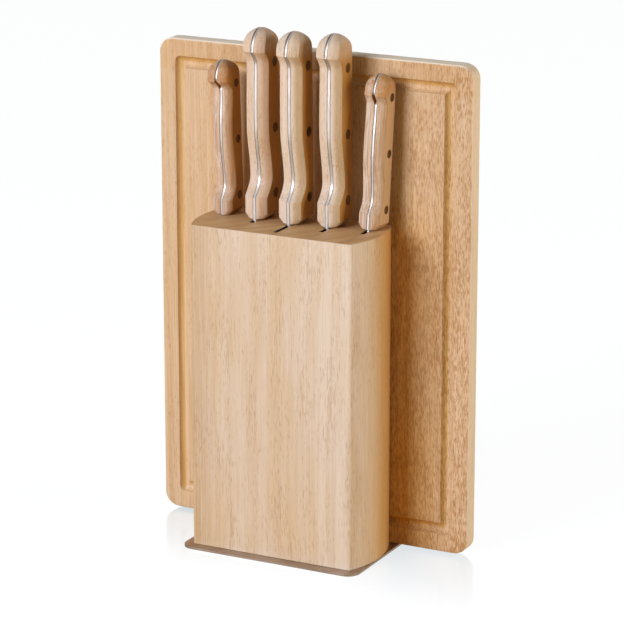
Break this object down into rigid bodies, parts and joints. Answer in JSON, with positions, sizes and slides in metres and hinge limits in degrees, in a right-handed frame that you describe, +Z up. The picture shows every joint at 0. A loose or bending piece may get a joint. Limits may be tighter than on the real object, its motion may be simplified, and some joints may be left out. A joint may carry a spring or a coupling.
{
  "type": "knife block with knives",
  "caption": "Upright wooden knife block with riveted full-tang knives, on a bent steel base that also holds a grooved cutting board behind it.",
  "frame": {"origin": "centre of the whole part seen from above, on the underside of the steel base", "axes": "+Z up; the flat front of the block faces -Y; +X to the right as seen from the front"},
  "size_m": [0.23, 0.082, 0.3489],
  "materials": {
    "block_wood": "pale rubberwood, satin oil",
    "spacer_wood": "pale rubberwood, satin oil",
    "board_wood": "golden rubberwood, satin oil",
    "handle_wood": "pale wood, sanded and oiled",
    "small_handle_wood": "reddish pale wood, sanded and oiled",
    "blade_steel": "satin ground steel",
    "rivet_bronze": "dark bronze",
    "base_steel": "brushed steel sheet",
    "screw_steel": "plain zinc"
  },
  "bodies": {
    "block": {"block_slab_1": "block_wood", "block_slab_2": "block_wood", "block_slab_3": "block_wood", "block_slab_4": "block_wood", "block_slab_5": "block_wood", "block_slab_6": "block_wood", "slot_spacer_1": "spacer_wood", "slot_spacer_2": "spacer_wood", "slot_spacer_3": "spacer_wood", "slot_spacer_4": "spacer_wood", "slot_spacer_5": "spacer_wood", "base_plate": "base_steel", "base_screws": "screw_steel"},
    "cutting_board": {"board_stave_1": "board_wood", "board_stave_2": "board_wood", "board_stave_3": "board_wood", "board_stave_4": "board_wood", "board_stave_5": "board_wood"},
    "utility_knife": {"utility_blade": "blade_steel", "utility_scale_left": "small_handle_wood", "utility_scale_right": "small_handle_wood", "utility_rivets": "rivet_bronze"},
    "carving_knife": {"carving_blade": "blade_steel", "carving_scale_left": "handle_wood", "carving_scale_right": "handle_wood", "carving_rivets": "rivet_bronze"},
    "chef_knife": {"chef_blade": "blade_steel", "chef_scale_left": "handle_wood", "chef_scale_right": "handle_wood", "chef_rivets": "rivet_bronze"},
    "bread_knife": {"bread_blade": "blade_steel", "bread_scale_left": "handle_wood", "bread_scale_right": "handle_wood", "bread_rivets": "rivet_bronze"},
    "paring_knife": {"paring_blade": "blade_steel", "paring_scale_left": "small_handle_wood", "paring_scale_right": "small_handle_wood", "paring_rivets": "rivet_bronze"}
  },
  "joints": [
    {"name": "board_lift", "type": "slide", "parent": "block", "child": "cutting_board", "axis": [0, 0, 1], "range_m": [0, 0.24]},
    {"name": "utility_draw", "type": "slide", "parent": "block", "child": "utility_knife", "axis": [0, 0, 1], "range_m": [0, 0.12]},
    {"name": "carving_draw", "type": "slide", "parent": "block", "child": "carving_knife", "axis": [0, 0, 1], "range_m": [0, 0.205]},
    {"name": "chef_draw", "type": "slide", "parent": "block", "child": "chef_knife", "axis": [0, 0, 1], "range_m": [0, 0.205]},
    {"name": "bread_draw", "type": "slide", "parent": "block", "child": "bread_knife", "axis": [0, 0, 1], "range_m": [0, 0.205]},
    {"name": "paring_draw", "type": "slide", "parent": "block", "child": "paring_knife", "axis": [0, 0, 1], "range_m": [0, 0.08]}
  ]
}
